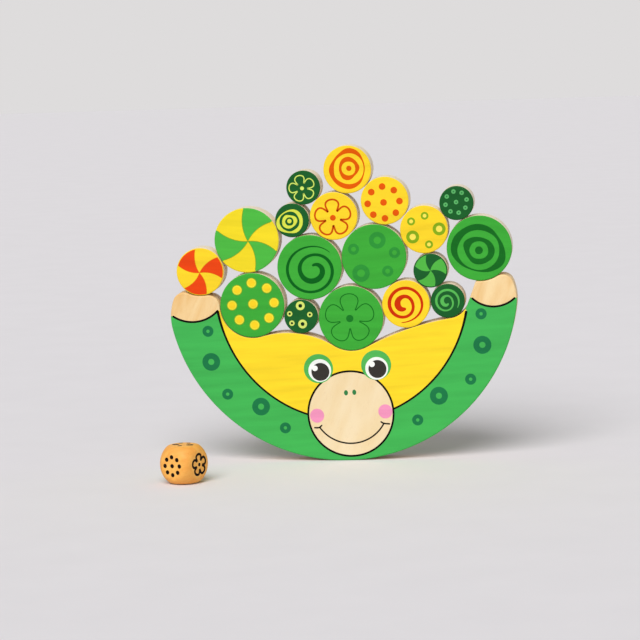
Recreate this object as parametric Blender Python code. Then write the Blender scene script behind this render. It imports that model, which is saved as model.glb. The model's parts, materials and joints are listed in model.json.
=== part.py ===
"""Wooden balance game: a crescent rocker, eighteen stacking discs and a motif die.

Lengths are in metres and +Z is up. The printed front looks along -Y. The origin is the middle of the
flat that the rocker stands on, halfway through the rocker's thickness.
"""

import itertools
import math
from dataclasses import dataclass

import bmesh
import bpy
from mathutils import Euler, Vector

# Rocker board: levels are the lowest points of its hollows, measured up from the rocking axis
ROCKER_RADIUS = 0.103  # rocking arc under the crescent
ROCKER_THICKNESS = 0.018
ROCKER_LEAN_DEG = 2.5  # lean at rest, anticlockwise seen from the front
STANDING_FLAT = 0.008  # width of the flat under the arc at that lean
TIP_START_DEG = 10.5  # the arc draws in towards each tip from this angle below the rocking axis
TIP_SIDE_RADIUS = 0.030
TIP_LOBE_RADIUS = 0.0065
LEFT_HORN_RADIUS = 0.0070  # round nose between the left tip's seat and the hollow beside it
RIGHT_HORN_RADIUS = 0.0015
SEAT_INSET = 0.0210  # middle of a tip's seat, in from the rocking arc's end
LEFT_SEAT_LEVEL = -0.0004
RIGHT_SEAT_LEVEL = -0.0024
LEFT_HOLLOW_LEVEL = -0.0271
LEFT_HOLLOW_LAND = 0.0008  # room between the circle of the hollow beside a tip and that of its seat
VALLEY_OFFSET = 0.0044  # middle of the deep hollow, to the right of the rocking axis
VALLEY_LEVEL = -0.0384
RIGHT_HOLLOW_LEVEL = -0.0229
RIGHT_HOLLOW_LAND = 0.0033
RIGHT_HOLLOW_EASE = 0.0019  # how much larger that hollow's radius is than a small disc's
RIGHT_FLANK_RADIUS = 0.300  # inner side of the right tip, nearly straight
RIGHT_FLANK_LEAN_DEG = 25.0  # how far that side leans outwards where it leaves the hollow
HUMP_RADIUS = 0.0525
SHOULDER_RADIUS = 0.160

# Discs
LARGE_DIAMETER = 0.038
MEDIUM_DIAMETER = 0.028
SMALL_DIAMETER = 0.020
DISC_THICKNESS = 0.018

# Die
DIE_EDGE = 0.022
DIE_BALL = 0.0274  # diameter of the ball that its corners are tumbled down to
DIE_X = -0.086
DIE_Y = -0.076
DIE_TURN_DEG = -29.0

# Fits and fineness
CONTACT_GAP = 0.0003  # between pieces that lie against each other
EDGE_ROUNDING = 0.0008  # sanded edges of the board and the discs
EDGE_SEGMENTS = 2
DIE_FLAT_SIDES = 24  # facets round the flat on each side of the die, a multiple of eight
DIE_CORNER_RINGS = 2  # rows of facets from there to the middle of each edge
ARC_SAG = 0.00005  # how far a facet may lie inside its arc
EDGE_ANGLE_DEG = 60.0  # edges sharper than this are sanded round
TOUCHING = 1e-7  # rounding error allowed where two discs lie at exactly the contact gap, or points meet

DISC_DIAMETERS = {"large": LARGE_DIAMETER, "medium": MEDIUM_DIAMETER, "small": SMALL_DIAMETER}

# Discs that lie in a hollow of the board, as size, motif and hollow
SEATED_DISCS = (
    ("large", "dots", "left_hollow"),
    ("large", "flower", "valley"),
    ("small", "spiral", "right_hollow"),
    ("medium", "swirl", "left_seat"),
    ("large", "rings", "right_seat"),
)

# Discs that lie on two others, in the order of stacking, as size, motif and column:
# how far to the right of the rocking axis each one is put down
STACKED_DISCS = (
    ("small", "circles", -0.0240),
    ("medium", "spiral", 0.0375),
    ("large", "spiral", -0.0182),
    ("large", "circles", 0.0198),
    ("small", "swirl", 0.0516),
    ("large", "swirl", -0.0541),
    ("small", "rings", -0.0274),
    ("medium", "flower", -0.0025),
    ("small", "flower", -0.0202),
    ("medium", "circles", 0.0496),
    ("medium", "dots", 0.0264),
    ("medium", "rings", 0.0054),
    ("small", "dots", 0.0689),
)

# Colours are linear, each with its roughness
FINISHES = {
    "rocker": ((0.075, 0.497, 0.117), 0.50),
    "large": ((0.056, 0.434, 0.045), 0.45),
    "medium": ((1.000, 0.716, 0.032), 0.45),
    "small": ((0.010, 0.107, 0.030), 0.45),
    "die": ((0.807, 0.402, 0.102), 0.55),
}

LEAN = math.radians(ROCKER_LEAN_DEG)
RIGHT_ANGLE = math.pi / 2
FULL_TURN = 2 * math.pi
FLAT_HALF_ANGLE = math.asin(STANDING_FLAT / 2 / ROCKER_RADIUS)
AXIS_HEIGHT = ROCKER_RADIUS * math.cos(FLAT_HALF_ANGLE)  # rocking axis above the table
OUT, IN = 1, -1  # which way a stretch of the outline bulges
# Turns that carry the die's top to each of its sides
DIE_SIDES = ((0, 0), (1, 0), (2, 0), (3, 0), (0, 1), (0, 3))
# Rounded stretches of the board that a disc can lie on
TOP_BULGES = ("left_lobe", "left_horn", "hump", "shoulder", "right_horn", "right_lobe")


@dataclass(frozen=True)
class Round:
    """A circle on the front of the upright rocker, measured from the rocking axis."""

    x: float
    z: float
    radius: float

    def distance(self, other):
        """Distance between the two middles."""
        return math.hypot(other.x - self.x, other.z - self.z)

    def point(self, angle):
        """Point of the circle in a direction from its middle."""
        return self.x + self.radius * math.cos(angle), self.z + self.radius * math.sin(angle)

    def level_x(self):
        """How far to the right of the rocking axis the middle is once the rocker leans."""
        return self.x * math.cos(LEAN) - self.z * math.sin(LEAN)


def crossing(first, first_reach, second, second_reach, radius, side):
    """Circle at a reach from each of two others, left (1) or right (-1) of the way between them."""
    span = first.distance(second)
    along = (first_reach**2 - second_reach**2 + span**2) / (2 * span)
    across = side * math.sqrt(first_reach**2 - along**2)
    dx = (second.x - first.x) / span
    dz = (second.z - first.z) / span
    return Round(first.x + along * dx - across * dz, first.z + along * dz + across * dx, radius)


def bridge(left, right, radius):
    """Bulge of the outline between two hollows, touching both from below."""
    return crossing(left, left.radius + radius, right, right.radius + radius, radius, -1)


def beside(seat, level, radius, room):
    """Hollow next to a tip's seat, towards the middle, with that room between the two circles."""
    z = level + radius
    run = math.sqrt((seat.radius + radius + room) ** 2 - (seat.z - z) ** 2)
    return Round(seat.x - math.copysign(run, seat.x), z, radius)


def flank_above(hollow):
    """Inner side of the right tip: goes on from the hollow, whose circle lies inside this one's."""
    lean = math.radians(RIGHT_FLANK_LEAN_DEG)
    reach = RIGHT_FLANK_RADIUS - hollow.radius
    return Round(hollow.x - reach * math.cos(lean), hollow.z + reach * math.sin(lean), RIGHT_FLANK_RADIUS)


def tip_lobe(tip_side, seat, hand):
    """Outer end of a tip, inside the tip's side and against its seat, left (1) or right (-1)."""
    inner_reach = TIP_SIDE_RADIUS - TIP_LOBE_RADIUS
    return crossing(tip_side, inner_reach, seat, seat.radius + TIP_LOBE_RADIUS, TIP_LOBE_RADIUS, hand)


def board_hollows():
    """The five hollows along the top of the board and the right tip's inner side, by name."""
    large = LARGE_DIAMETER / 2 + CONTACT_GAP
    small = SMALL_DIAMETER / 2 + RIGHT_HOLLOW_EASE
    left_seat = Round(SEAT_INSET - ROCKER_RADIUS, LEFT_SEAT_LEVEL + large, large)
    right_seat = Round(ROCKER_RADIUS - SEAT_INSET, RIGHT_SEAT_LEVEL + large, large)
    right_hollow = beside(right_seat, RIGHT_HOLLOW_LEVEL, small, RIGHT_HOLLOW_LAND)
    return {
        "left_seat": left_seat,
        "left_hollow": beside(left_seat, LEFT_HOLLOW_LEVEL, large, LEFT_HOLLOW_LAND),
        "valley": Round(VALLEY_OFFSET, VALLEY_LEVEL + large, large),
        "right_hollow": right_hollow,
        "right_flank": flank_above(right_hollow),
        "right_seat": right_seat,
    }


def board_bulges(hollows):
    """The rounded stretches of the board between its hollows and at its tips, by name."""
    tip_angle = -math.radians(TIP_START_DEG)
    tip_reach = ROCKER_RADIUS - TIP_SIDE_RADIUS
    right_side = Round(tip_reach * math.cos(tip_angle), tip_reach * math.sin(tip_angle), TIP_SIDE_RADIUS)
    left_side = Round(-right_side.x, right_side.z, TIP_SIDE_RADIUS)
    return {
        "arc": Round(0.0, 0.0, ROCKER_RADIUS),
        "left_side": left_side,
        "left_lobe": tip_lobe(left_side, hollows["left_seat"], 1),
        "left_horn": bridge(hollows["left_seat"], hollows["left_hollow"], LEFT_HORN_RADIUS),
        "hump": bridge(hollows["left_hollow"], hollows["valley"], HUMP_RADIUS),
        "shoulder": bridge(hollows["valley"], hollows["right_hollow"], SHOULDER_RADIUS),
        "right_horn": bridge(hollows["right_flank"], hollows["right_seat"], RIGHT_HORN_RADIUS),
        "right_lobe": tip_lobe(right_side, hollows["right_seat"], -1),
        "right_side": right_side,
    }


def facets(radius, turn):
    """Number of straight facets for an arc of that radius and turn."""
    return max(1, math.ceil(abs(turn) / (2 * math.acos(1 - ARC_SAG / radius))))


def touch_angle(circle, other):
    """Direction, from a circle's middle, of the point where it touches another."""
    outward = 1 if circle.radius >= other.radius or circle.distance(other) > other.radius else -1
    return math.atan2(outward * (other.z - circle.z), outward * (other.x - circle.x))


def arc_points(circle, start, end, bulge):
    """Points along a circle between two directions, without the last, turning as the outline bulges."""
    turn = ((end - start) * bulge % FULL_TURN) * bulge
    count = facets(circle.radius, turn)
    angles = [start + turn * step / count for step in range(count)]
    return [circle.point(angle) for angle in angles]


def board_outline(hollows, bulges):
    """Outline of the upright board, anticlockwise from the right end of its standing flat."""
    stretches = [(bulges["arc"], OUT)]
    stretches += [(bulges["right_side"], OUT), (bulges["right_lobe"], OUT), (hollows["right_seat"], IN)]
    stretches += [(bulges["right_horn"], OUT), (hollows["right_flank"], IN)]
    stretches += [(hollows["right_hollow"], IN), (bulges["shoulder"], OUT)]
    stretches += [(hollows["valley"], IN), (bulges["hump"], OUT), (hollows["left_hollow"], IN)]
    stretches += [(bulges["left_horn"], OUT), (hollows["left_seat"], IN)]
    stretches += [(bulges["left_lobe"], OUT), (bulges["left_side"], OUT), (bulges["arc"], OUT)]
    flat_middle = -RIGHT_ANGLE - LEAN
    points = []
    start = flat_middle + FLAT_HALF_ANGLE
    for (circle, bulge), (following, _) in itertools.pairwise(stretches):
        points += arc_points(circle, start, touch_angle(circle, following), bulge)
        start = touch_angle(following, circle)
    last_circle, last_bulge = stretches[-1]
    end = flat_middle - FLAT_HALF_ANGLE
    points += arc_points(last_circle, start, end, last_bulge)
    points.append(last_circle.point(end))
    return points


def seat_in(hollow, radius):
    """Place of a disc at the lowest point of a hollow of the leaning board."""
    drop = hollow.radius - radius - CONTACT_GAP
    return Round(hollow.x - drop * math.sin(LEAN), hollow.z - drop * math.cos(LEAN), radius)


def settle(radius, column, placed):
    """Place of a disc lying on two placed rounds, clear of the rest and nearest its column."""
    reach = radius + CONTACT_GAP
    choices = []
    for left, right in itertools.permutations(placed, 2):
        left_reach = left.radius + reach
        right_reach = right.radius + reach
        if not abs(left_reach - right_reach) < left.distance(right) < left_reach + right_reach:
            continue
        disc = crossing(left, left_reach, right, right_reach, radius, 1)
        held = left.level_x() <= disc.level_x() <= right.level_x()
        if held and all(disc.distance(other) > other.radius + reach - TOUCHING for other in placed):
            choices.append(disc)
    return min(choices, key=lambda disc: abs(disc.level_x() - column))


def stack_places(hollows, bulges):
    """Place of every disc, by size and motif."""
    places = {}
    for size, motif, hollow in SEATED_DISCS:
        places[size, motif] = seat_in(hollows[hollow], DISC_DIAMETERS[size] / 2)
    board = [bulges[name] for name in TOP_BULGES]
    for size, motif, column in STACKED_DISCS:
        placed = board + list(places.values())
        places[size, motif] = settle(DISC_DIAMETERS[size] / 2, column, placed)
    return places


def clear_scene():
    """Remove every object of the scene."""
    for obj in list(bpy.data.objects):
        bpy.data.objects.remove(obj, do_unlink=True)


def make_finish(name):
    """Painted or plain wood of the named finish."""
    colour, roughness = FINISHES[name]
    material = bpy.data.materials.new(name + "_wood")
    material.use_nodes = True
    shader = material.node_tree.nodes["Principled BSDF"]
    shader.inputs["Base Color"].default_value = (*colour, 1.0)
    shader.inputs["Roughness"].default_value = roughness
    shader.inputs["Metallic"].default_value = 0.0
    return material


def sand_edges(obj, width, segments):
    """Round the sharp edges of a piece."""
    bevel = obj.modifiers.new("sanded_edges", "BEVEL")
    bevel.width = width
    bevel.segments = segments
    bevel.limit_method = "ANGLE"
    bevel.angle_limit = math.radians(EDGE_ANGLE_DEG)


def make_object(name, shape, finish, parent=None):
    """Object holding a finished bmesh, smooth across its facets, under an optional parent."""
    mesh = bpy.data.meshes.new(name)
    shape.to_mesh(mesh)
    shape.free()
    mesh.materials.append(finish)
    mesh.shade_smooth()
    mesh.set_sharp_from_angle(angle=math.radians(EDGE_ANGLE_DEG))
    obj = bpy.data.objects.new(name, mesh)
    bpy.context.scene.collection.objects.link(obj)
    obj.parent = parent
    return obj


def extrude_outline(points, thickness):
    """Prism of an outline in the XZ plane, centred on that plane."""
    shape = bmesh.new()
    corners = [shape.verts.new((x, thickness / 2, z)) for x, z in points]
    back = shape.faces.new(corners)
    grown = bmesh.ops.extrude_face_region(shape, geom=[back])
    front = [item for item in grown["geom"] if isinstance(item, bmesh.types.BMVert)]
    bmesh.ops.translate(shape, verts=front, vec=(0.0, -thickness, 0.0))
    bmesh.ops.recalc_face_normals(shape, faces=shape.faces)
    return shape


def make_rock_axis():
    """Empty on the rocking axis, leaning as the rocker does."""
    axis = bpy.data.objects.new("rock_axis", None)
    axis.location = (0.0, 0.0, AXIS_HEIGHT)
    axis.rotation_euler = (0.0, -LEAN, 0.0)
    bpy.context.scene.collection.objects.link(axis)
    return axis


def make_rocker(axis, hollows, bulges):
    """The crescent board, with its origin on the rocking axis."""
    shape = extrude_outline(board_outline(hollows, bulges), ROCKER_THICKNESS)
    rocker = make_object("rocker", shape, make_finish("rocker"), axis)
    sand_edges(rocker, EDGE_ROUNDING, EDGE_SEGMENTS)


def make_disc(size, motif, place, finish, axis):
    """One stacking disc, with its origin at its middle."""
    count = facets(place.radius, FULL_TURN)
    angles = [FULL_TURN * step / count for step in range(count)]
    rim = [(place.radius * math.cos(a), place.radius * math.sin(a)) for a in angles]
    shape = extrude_outline(rim, DISC_THICKNESS)
    disc = make_object(f"{size}_disc_{motif}", shape, finish, axis)
    disc.location = (place.x, 0.0, place.z)
    sand_edges(disc, EDGE_ROUNDING, EDGE_SEGMENTS)


def make_discs(axis, hollows, bulges):
    """The eighteen discs of the stack, six motifs in three sizes."""
    finishes = {size: make_finish(size) for size in DISC_DIAMETERS}
    for (size, motif), place in stack_places(hollows, bulges).items():
        make_disc(size, motif, place, finishes[size], axis)


def die_side_rings():
    """Rings of points on the die's upper side, from its round flat out to the middles of its edges."""
    reach = DIE_BALL / 2
    height = DIE_EDGE / 2
    flat = math.sqrt(reach**2 - height**2)
    angles = [FULL_TURN * step / DIE_FLAT_SIDES for step in range(DIE_FLAT_SIDES)]
    inner = [Vector((flat * math.cos(a), flat * math.sin(a), height)) for a in angles]
    outward = [Vector((math.cos(a), math.sin(a), max(abs(math.cos(a)), abs(math.sin(a))))) for a in angles]
    outer = [direction.normalized() * reach for direction in outward]
    shares = [ring / DIE_CORNER_RINGS for ring in range(DIE_CORNER_RINGS + 1)]
    return [[a.lerp(b, share).normalized() * reach for a, b in zip(inner, outer)] for share in shares]


def make_die():
    """The tumbled die: a cube whose edges and corners lie on a ball, in front of the rocker."""
    shape = bmesh.new()
    for turn_x, turn_y in DIE_SIDES:
        turn = Euler((turn_x * RIGHT_ANGLE, turn_y * RIGHT_ANGLE, 0.0)).to_matrix()
        rings = [[shape.verts.new(turn @ point) for point in ring] for ring in die_side_rings()]
        shape.faces.new(rings[0])
        for inner, outer in itertools.pairwise(rings):
            for step in range(DIE_FLAT_SIDES):
                shape.faces.new((inner[step - 1], outer[step - 1], outer[step], inner[step]))
    bmesh.ops.remove_doubles(shape, verts=shape.verts, dist=TOUCHING)
    bmesh.ops.recalc_face_normals(shape, faces=shape.faces)
    die = make_object("motif_die", shape, make_finish("die"))
    die.location = (DIE_X, DIE_Y, DIE_EDGE / 2)
    die.rotation_euler = (0.0, 0.0, math.radians(DIE_TURN_DEG))


def main():
    """Build the whole game."""
    clear_scene()
    hollows = board_hollows()
    bulges = board_bulges(hollows)
    axis = make_rock_axis()
    make_rocker(axis, hollows, bulges)
    make_discs(axis, hollows, bulges)
    make_die()


if __name__ == "__main__":
    main()
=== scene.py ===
"""Looks of a wooden balance game.

A crescent board, printed with an animal's face, rocks on its round edge and carries eighteen loose discs:
six motifs, each in three sizes. A rounded die with the same motifs lies in front of it. Every piece is solid
wood, screen printed on both faces, with bare sanded edges.

Lengths are metres. X is to the right, Y goes back from the printed front and Z is up. Prints are drawn flat,
as (x, z) points seen from the front, and outlines run anticlockwise.
"""

import json
import logging
import math
from dataclasses import dataclass, replace
from enum import Enum
from typing import Sequence

import bpy
import numpy as np
from mathutils import Matrix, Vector
from numpy.typing import NDArray


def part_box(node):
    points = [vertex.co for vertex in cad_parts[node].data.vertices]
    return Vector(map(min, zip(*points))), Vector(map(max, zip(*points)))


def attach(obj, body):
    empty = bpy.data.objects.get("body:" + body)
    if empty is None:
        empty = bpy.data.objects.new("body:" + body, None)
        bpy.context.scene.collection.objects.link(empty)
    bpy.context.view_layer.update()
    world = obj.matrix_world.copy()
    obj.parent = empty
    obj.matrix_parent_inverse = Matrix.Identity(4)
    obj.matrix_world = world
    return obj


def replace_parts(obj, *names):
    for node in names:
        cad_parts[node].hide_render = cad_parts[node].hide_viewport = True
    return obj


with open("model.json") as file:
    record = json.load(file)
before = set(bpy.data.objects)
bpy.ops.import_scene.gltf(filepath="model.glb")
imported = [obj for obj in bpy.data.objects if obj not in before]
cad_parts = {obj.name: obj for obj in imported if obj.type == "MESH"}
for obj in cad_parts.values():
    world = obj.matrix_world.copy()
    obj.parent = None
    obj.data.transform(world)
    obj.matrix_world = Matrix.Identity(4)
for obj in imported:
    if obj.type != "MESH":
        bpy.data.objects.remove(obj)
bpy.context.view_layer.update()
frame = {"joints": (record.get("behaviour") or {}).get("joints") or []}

LOG = logging.getLogger("balance_game")
Array = NDArray[np.float64]
Numbers = NDArray[np.int64]
Nodes = bpy.types.NodeTree
Socket = bpy.types.NodeSocket
Pair = tuple[float, float]
Triple = tuple[float, float, float]

MM = 0.001
GRAIN = "grain"  # mesh attribute: where a point lies in the plank that its piece was cut from
ROUNDED_OFF = "wear"  # mesh attribute: how far the wood is rounded off there, from 0 to 1
LACQUER_IOR = 1.5
GRAIN_SEED = 7

# Sockets of a Mix node between two colours: its share, the colours, and its output
SHARE, UNDER, OVER, MIXED = 0, 6, 7, 2
# Sockets of a Map Range node, in order
RANGE = ("Value", "From Min", "From Max", "To Min", "To Max")

# Sanded wood and the ink on it
INK_BUILD = 0.03 * MM  # thickness of one printed layer
INK_BITE = 0.03 * MM  # how far a film sinks into the wood, so that no two faces coincide
PRINT_ROOM = 0.20 * MM  # the wood is this much thinner on each side, which the print fills
EDGE_ROUNDING = 0.80 * MM  # sanded edges of the board and the discs
EDGE_SUPPORT = 1.25 * EDGE_ROUNDING  # a row of points this far in keeps the faces flat
EDGE_STEPS = 6
ROLL_REACH = EDGE_ROUNDING + 0.30 * MM  # how far in from the edge the ink rolls over it
ROLL_TURN = math.radians(64)  # how far round the sanded edge the ink goes
LINE_TIP = 0.02  # square of the share of its width that a line keeps at its very end
FILL_RINGS = 8  # rings that fill a film on a rounded surface
FILL_START = 0.04  # size of the innermost of them

# Layers of ink, from the wood out
COAT, DRAWING, DETAIL, FINEST = 1, 2, 3, 4

# Points round a printed circle
PIT_STEPS = 24
NOSTRIL_STEPS = 32
DOT_STEPS = 40
CHEEK_STEPS = 48
RING_STEPS = 56
EYE_STEPS = 64
MUZZLE_STEPS = 220


class Ink(Enum):
    """Screen inks, by their dried colour."""

    BOARD_GREEN = "#45B556"
    BOARD_YELLOW = "#FDDA2E"
    SPOT_GREEN = "#1F7847"
    OUTLINE_BLACK = "#0E0D0A"
    PUPIL_BLACK = "#393632"
    EYE_GREEN = "#55B658"
    EYE_WHITE = "#F7F9F4"
    CHEEK_PINK = "#F699C1"
    NOSTRIL_GREEN = "#37834A"
    LARGE_GREEN = "#3FAA3A"
    LARGE_DEEP = "#09601B"
    LARGE_RING = "#176A21"
    LARGE_CIRCLE = "#2F9338"
    LARGE_PETAL = "#14701E"
    LARGE_HEART = "#1A7A26"
    LARGE_LEMON = "#F2DA2A"
    LARGE_RIM = "#F0E53C"
    LARGE_GOLD = "#FBD428"
    LARGE_LIME = "#4FB944"
    OLIVE_TRAP = "#93A423"
    MEDIUM_YELLOW = "#FBD62D"
    MEDIUM_ORANGE = "#E4580C"
    MEDIUM_RING = "#E15B05"
    MEDIUM_RED = "#ED4814"
    MEDIUM_SPIRAL = "#CC3206"
    MEDIUM_PETAL = "#CC5008"
    MEDIUM_LEAF = "#86AC1C"
    MEDIUM_PALE = "#FCE55C"
    AMBER_TRAP = "#E08A1A"
    SMALL_GREEN = "#1D5E2B"
    SMALL_LEAF = "#52B546"
    SMALL_DOT = "#5FB769"
    SMALL_SHADE = "#2B7C41"
    SMALL_SPIRAL = "#57B654"
    SMALL_PETAL = "#D6EC6C"
    SMALL_RING = "#DAE44E"
    SMALL_CIRCLE = "#D6E570"
    SMALL_PIT = "#102C17"
    DIE_BLACK = "#1C110C"


class Cover(Enum):
    """How a film of ink fills the space at its edges."""

    PATCH = "everything inside one closed edge"
    BAND = "the band between two closed edges"
    LINE = "the line between two open edges"
    RIM = "a closed sanded edge, rolled over"
    EDGE = "an open stretch of a sanded edge, rolled over"


class Bulge(Enum):
    """Which way a stretch of the board's outline turns."""

    OUT = 1
    IN = -1


class DiscSize(Enum):
    """The three sizes of disc, by the word in their names."""

    LARGE = "large"
    MEDIUM = "medium"
    SMALL = "small"


class MotifName(Enum):
    """The six motifs, by the word in the discs' names."""

    FLOWER = "flower"
    SPIRAL = "spiral"
    SWIRL = "swirl"
    DOTS = "dots"
    CIRCLES = "circles"
    RINGS = "rings"


OUT, IN = Bulge
LARGE, MEDIUM, SMALL = DiscSize
FLOWER, SPIRAL, SWIRL, DOTS, CIRCLES, RINGS = MotifName


def linear(colour: str, share: float = 1.0) -> tuple[float, float, float, float]:
    """Linear light, with an alpha of 1, of an sRGB hex colour with a share of each coded channel left."""
    coded = np.round([int(colour[place:place + 2], 16) * share for place in (1, 3, 5)]) / 255
    return (*np.where(coded <= 0.04045, coded / 12.92, ((coded + 0.055) / 1.055) ** 2.4).tolist(), 1.0)


def add_node(
    tree: Nodes, kind: str, inputs: dict[str | int, object] | None = None, **settings: object
) -> bpy.types.NodeOutputs:
    """Add a shader node with its settings and links.

    Args:
        tree: the nodes of a material or of the world.
        kind: the node's type, after the word ShaderNode.
        inputs: a value or another node's output for each socket, by name or number.
        settings: the node's own properties.

    Returns:
        The new node's outputs.
    """
    node = tree.nodes.new(f"ShaderNode{kind}")
    for name, value in settings.items():
        setattr(node, name, value)
    for key, value in (inputs or {}).items():
        if isinstance(value, Socket):
            tree.links.new(value, node.inputs[key])
        else:
            node.inputs[key].default_value = value
    return node.outputs


class Finish:
    """What a surface is finished with. Each kind has a name and adds its own nodes."""

    name: str
    smooth = False  # whether a piece that has it is shaded smooth

    def shade(self, tree: Nodes) -> Socket:
        """Add the finish's nodes and give its shader."""
        raise NotImplementedError

    def material(self) -> bpy.types.Material:
        """Make the finish's material, or fetch it.

        Returns:
            The material.
        """
        if self.name in bpy.data.materials:
            return bpy.data.materials[self.name]
        made = bpy.data.materials.new(self.name)
        made.use_nodes = True
        made.node_tree.nodes.clear()
        add_node(made.node_tree, "OutputMaterial", {"Surface": self.shade(made.node_tree)})
        return made


class GrainedFinish(Finish):
    """What bare and printed wood share: patterns along the grain, and fibres left standing by the sanding."""

    streak_mm: Triple
    streak_span: Pair
    streak_share: float
    streak_bend: float
    fibre_mm: Triple
    fibre_span: Pair = (0.3, 0.7)
    roughness: Pair
    relief: float  # how strongly the fibres turn the light
    relief_mm: float  # how far they stand up
    gloss: float

    def pattern(
        self, tree: Nodes, cell_mm: Triple, span: Pair, to: Pair, detail: float, bend: float = 0.0
    ) -> tuple[Socket, Socket]:
        """Lay noise along the grain, in cells of a real size, and stretch a span of its values to another.

        Args:
            tree: the material's nodes.
            cell_mm: a cell's length, width and depth in the plank.
            span: the values that are stretched.
            to: what they are stretched to.
            detail: how many finer noises are added.
            bend: how far the cells are bent.

        Returns:
            The plain noise and the stretched one.
        """
        grain = add_node(tree, "Attribute", attribute_name=GRAIN)["Vector"]
        scale = [1 / (side * MM) for side in cell_mm]
        place = add_node(tree, "Mapping", {"Vector": grain, "Scale": scale})[0]
        cells = {"Vector": place, "Scale": 1.0, "Detail": detail, "Distortion": bend}
        noise = add_node(tree, "TexNoise", cells)[0]
        return noise, add_node(tree, "MapRange", dict(zip(RANGE, (noise, *span, *to))))[0]

    def streaks(self, tree: Nodes) -> Socket:
        """Growth rings cut lengthwise: how far each place lies in a broad streak."""
        to = (0.0, self.streak_share)
        return self.pattern(tree, self.streak_mm, self.streak_span, to, detail=4.0, bend=self.streak_bend)[1]

    def surface(self, tree: Nodes, colour: Socket) -> Socket:
        """Shade a colour: the fibres break up its sheen and raise it a little.

        Args:
            tree: the material's nodes.
            colour: the colour.

        Returns:
            The shader.
        """
        fibres, sheen = self.pattern(tree, self.fibre_mm, self.fibre_span, self.roughness, detail=2.0)
        bump = {"Strength": self.relief, "Distance": self.relief_mm * MM, "Height": fibres}
        look = {
            "Base Color": colour,
            "Roughness": sheen,
            "IOR": LACQUER_IOR,
            "Specular IOR Level": self.gloss,
            "Normal": add_node(tree, "Bump", bump)[0],
        }
        return add_node(tree, "BsdfPrincipled", look)[0]


@dataclass(frozen=True)
class Timber(GrainedFinish):
    """A pale close-grained hardwood, planed, sanded and lightly waxed.

    To the eye: broad soft streaks along the grain, short dark flecks, and a low even sheen.
    """

    smooth = True
    name: str
    tones: tuple[str, str]  # pale and honey
    fleck: str
    streak_mm: Triple = (55.0, 3.2, 6.0)
    streak_span: Pair = (0.34, 0.68)
    streak_share: float = 0.60
    streak_bend: float = 0.25
    fleck_mm: Triple = (3.0, 0.50, 0.50)  # twice beech's own, to show at all
    fleck_span: Pair = (0.62, 0.74)
    fleck_share: float = 0.18
    fibre_mm: Triple = (6.0, 0.35, 0.35)
    roughness: Pair = (0.42, 0.56)
    relief: float = 0.25
    relief_mm: float = 0.02
    gloss: float = 0.20
    ends_mm: Pair = (45.0, 80.0)  # from the first to the second distance its tones change
    ends_tones: tuple[str, ...] = ()  # the tones beyond that, where the plank's ends differ
    rounded_tone: str = ""  # the tone the wood darkens to where it is rounded off, towards its edges and corners
    rounded_share: float = 0.0

    def shade(self, tree: Nodes) -> Socket:
        """Colour the wood with streaks, its ends, a darker tone where it is rounded off, and flecks, one over
        the other.

        Args:
            tree: the material's nodes.

        Returns:
            The shader.
        """
        streaks = self.streaks(tree)
        streaked = []
        for tones in filter(None, (self.tones, self.ends_tones)):
            pale, honey = (linear(tone) for tone in tones)
            mix = {SHARE: streaks, UNDER: pale, OVER: honey}
            streaked.append(add_node(tree, "Mix", mix, data_type="RGBA")[MIXED])
        colour = streaked[0]
        layers = []
        if self.ends_tones:
            # The plank's ends, where it was cut nearer the heart
            place = add_node(tree, "TexCoord")["Object"]
            along = add_node(tree, "SeparateXYZ", {"Vector": place})["X"]
            away = add_node(tree, "Math", {0: along}, operation="ABSOLUTE")[0]
            near, far = (distance * MM for distance in self.ends_mm)
            beyond = add_node(tree, "MapRange", {"Value": away, "From Min": near, "From Max": far})[0]
            layers.append((beyond, streaked[1]))
        if self.rounded_share:
            # Darker where the wood is rounded off, towards the edges and corners
            wear = add_node(tree, "Attribute", attribute_name=ROUNDED_OFF)["Fac"]
            rounding = add_node(tree, "MapRange", {"Value": wear, "To Max": self.rounded_share})[0]
            layers.append((rounding, linear(self.rounded_tone)))
        # Rays: short dark flecks
        _, flecks = self.pattern(tree, self.fleck_mm, self.fleck_span, (0.0, self.fleck_share), detail=1.0)
        for share, over in [*layers, (flecks, linear(self.fleck))]:
            mix = {SHARE: share, UNDER: colour, OVER: over}
            colour = add_node(tree, "Mix", mix, data_type="RGBA")[MIXED]
        return self.surface(tree, colour)


@dataclass(frozen=True)
class ScreenInk(GrainedFinish):
    """An opaque toy enamel, pulled through a mesh onto sanded wood.

    To the eye: a bright flat colour, nearly matt, in which the grain below shows as faint streaks.
    """

    ink: Ink
    streak_mm: Triple = (45.0, 1.5, 4.0)
    streak_span: Pair = (0.36, 0.72)
    streak_share: float = 0.42
    streak_bend: float = 0.20
    streak_tone: float = 0.84  # how much of the colour is left in a streak
    fibre_mm: Triple = (5.0, 0.45, 0.45)  # coarser than the wood's own, to show at all
    roughness: Pair = (0.44, 0.56)
    relief: float = 0.20
    relief_mm: float = 0.015
    gloss: float = 0.05

    @property
    def name(self) -> str:
        """Name of the ink's material."""
        return f"screen_ink_{self.ink.name.lower()}"

    def shade(self, tree: Nodes) -> Socket:
        """Colour the film, which thins and thickens where the grain shows through.

        Args:
            tree: the material's nodes.

        Returns:
            The shader.
        """
        full, streak = linear(self.ink.value), linear(self.ink.value, self.streak_tone)
        tones = {SHARE: self.streaks(tree), UNDER: full, OVER: streak}
        return self.surface(tree, add_node(tree, "Mix", tones, data_type="RGBA")[MIXED])


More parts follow.
